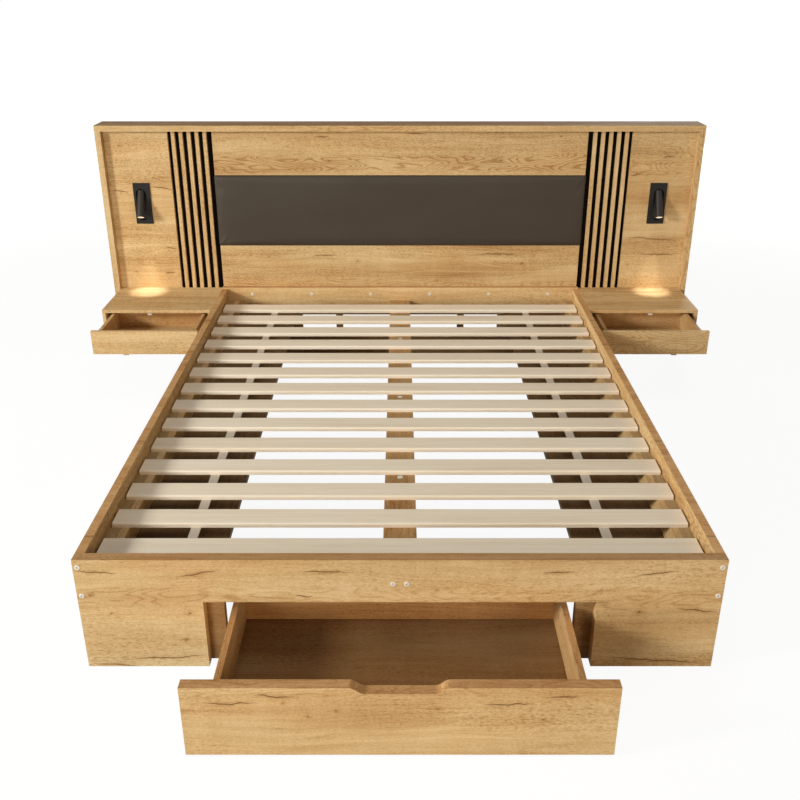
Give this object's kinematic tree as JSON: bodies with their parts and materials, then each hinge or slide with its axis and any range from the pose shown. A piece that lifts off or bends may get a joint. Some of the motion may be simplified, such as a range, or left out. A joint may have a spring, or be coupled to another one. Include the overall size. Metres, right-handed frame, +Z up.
{
  "type": "bed with attached nightstands",
  "caption": "Slatted oak bed with a wide framed headboard, dark pad, upright strips, fixed nightstands with drawers, a rolling drawer in the foot end and folding reading lamps.",
  "frame": {"origin": "on the floor, in the middle of the whole object's width and depth with its drawers as far open as at rest", "axes": "+Z up, +Y towards the wall behind the headboard, +X to the right of someone who looks at the footboard"},
  "size_m": [2.332, 2.33, 0.944],
  "materials": {
    "oak": "natural oak, matt lacquer",
    "birch": "bare birch plywood, sanded",
    "hidden_wood": "sawn",
    "black_board": "black stained, matt",
    "upholstery": "smooth dark artificial leather, matt",
    "screw_caps": "off-white",
    "steel": "zinc plated",
    "strap": "woven tape",
    "white_plastic": "matt",
    "roller_rubber": "matt",
    "lamp_black": "matt black",
    "lamp_lens": "opal, warm white light"
  },
  "bodies": {
    "bed": {"headboard_top": "oak", "headboard_side_left": "oak", "headboard_side_right": "oak", "wing_panel_left": "oak", "wing_panel_right": "oak", "upper_panel": "oak", "lower_panel": "oak", "strip_backings": "black_board", "decor_strips": "oak", "headboard_pad": "upholstery", "pad_board": "hidden_wood", "head_rail": "oak", "head_rail_screws": "screw_caps", "head_end_panels": "oak", "head_end_frame": "oak", "side_rail_left": "oak", "side_rail_right": "oak", "footboard": "oak", "frame_bolts": "screw_caps", "foot_inner_boards": "oak", "side_decks": "oak", "slat_ledges": "oak", "ledge_liners": "oak", "centre_beam": "oak", "centre_legs": "oak", "beam_bolts": "steel", "bed_slats": "birch", "slat_straps": "strap", "nightstand_top_left": "oak", "nightstand_top_right": "oak", "nightstand_sides": "oak", "nightstand_bottoms": "oak", "runner_packers": "hidden_wood", "drawer_buffers": "white_plastic", "fixed_runners": "steel", "lamp_plates": "lamp_black", "lamp_cans": "lamp_black"},
    "foot_drawer": {"foot_drawer_front": "oak", "foot_drawer_sides": "oak", "foot_drawer_back": "oak", "foot_drawer_bottom": "oak", "roller_brackets": "steel"},
    "wheel_front_left": {"roller_front_left": "roller_rubber"},
    "wheel_front_right": {"roller_front_right": "roller_rubber"},
    "wheel_rear_left": {"roller_rear_left": "roller_rubber"},
    "wheel_rear_right": {"roller_rear_right": "roller_rubber"},
    "drawer_left": {"tray_front_left": "oak", "tray_box_left": "oak", "tray_bottom_left": "oak", "tray_runners_left": "steel"},
    "drawer_right": {"tray_front_right": "oak", "tray_box_right": "oak", "tray_bottom_right": "oak", "tray_runners_right": "steel"},
    "lamp_left": {"lamp_tube_left": "lamp_black", "lamp_lens_left": "lamp_lens"},
    "lamp_right": {"lamp_tube_right": "lamp_black", "lamp_lens_right": "lamp_lens"}
  },
  "joints": [
    {"name": "foot_drawer_slide", "type": "slide", "parent": "bed", "child": "foot_drawer", "axis": [0, -1, 0], "range_m": [-0.277, 0.06]},
    {"name": "wheel_front_left_spin", "type": "hinge", "parent": "foot_drawer", "child": "wheel_front_left", "pos_m": [-0.324, -1.089, 0.02], "axis": [1, 0, 0], "continuous": true},
    {"name": "wheel_front_right_spin", "type": "hinge", "parent": "foot_drawer", "child": "wheel_front_right", "pos_m": [0.324, -1.089, 0.02], "axis": [1, 0, 0], "continuous": true},
    {"name": "wheel_rear_left_spin", "type": "hinge", "parent": "foot_drawer", "child": "wheel_rear_left", "pos_m": [-0.324, -0.836, 0.02], "axis": [1, 0, 0], "continuous": true},
    {"name": "wheel_rear_right_spin", "type": "hinge", "parent": "foot_drawer", "child": "wheel_rear_right", "pos_m": [0.324, -0.836, 0.02], "axis": [1, 0, 0], "continuous": true},
    {"name": "drawer_left_slide", "type": "slide", "parent": "bed", "child": "drawer_left", "axis": [0, -1, 0], "range_m": [-0.199, 0.02]},
    {"name": "drawer_right_slide", "type": "slide", "parent": "bed", "child": "drawer_right", "axis": [0, -1, 0], "range_m": [-0.199, 0.02]},
    {"name": "lamp_left_tilt", "type": "hinge", "parent": "bed", "child": "lamp_left", "pos_m": [-1.02, 1.0745, 0.682], "axis": [-1, 0, 0], "range_deg": [-28, 62]},
    {"name": "lamp_right_tilt", "type": "hinge", "parent": "bed", "child": "lamp_right", "pos_m": [1.02, 1.0745, 0.682], "axis": [-1, 0, 0], "range_deg": [-28, 62]}
  ]
}
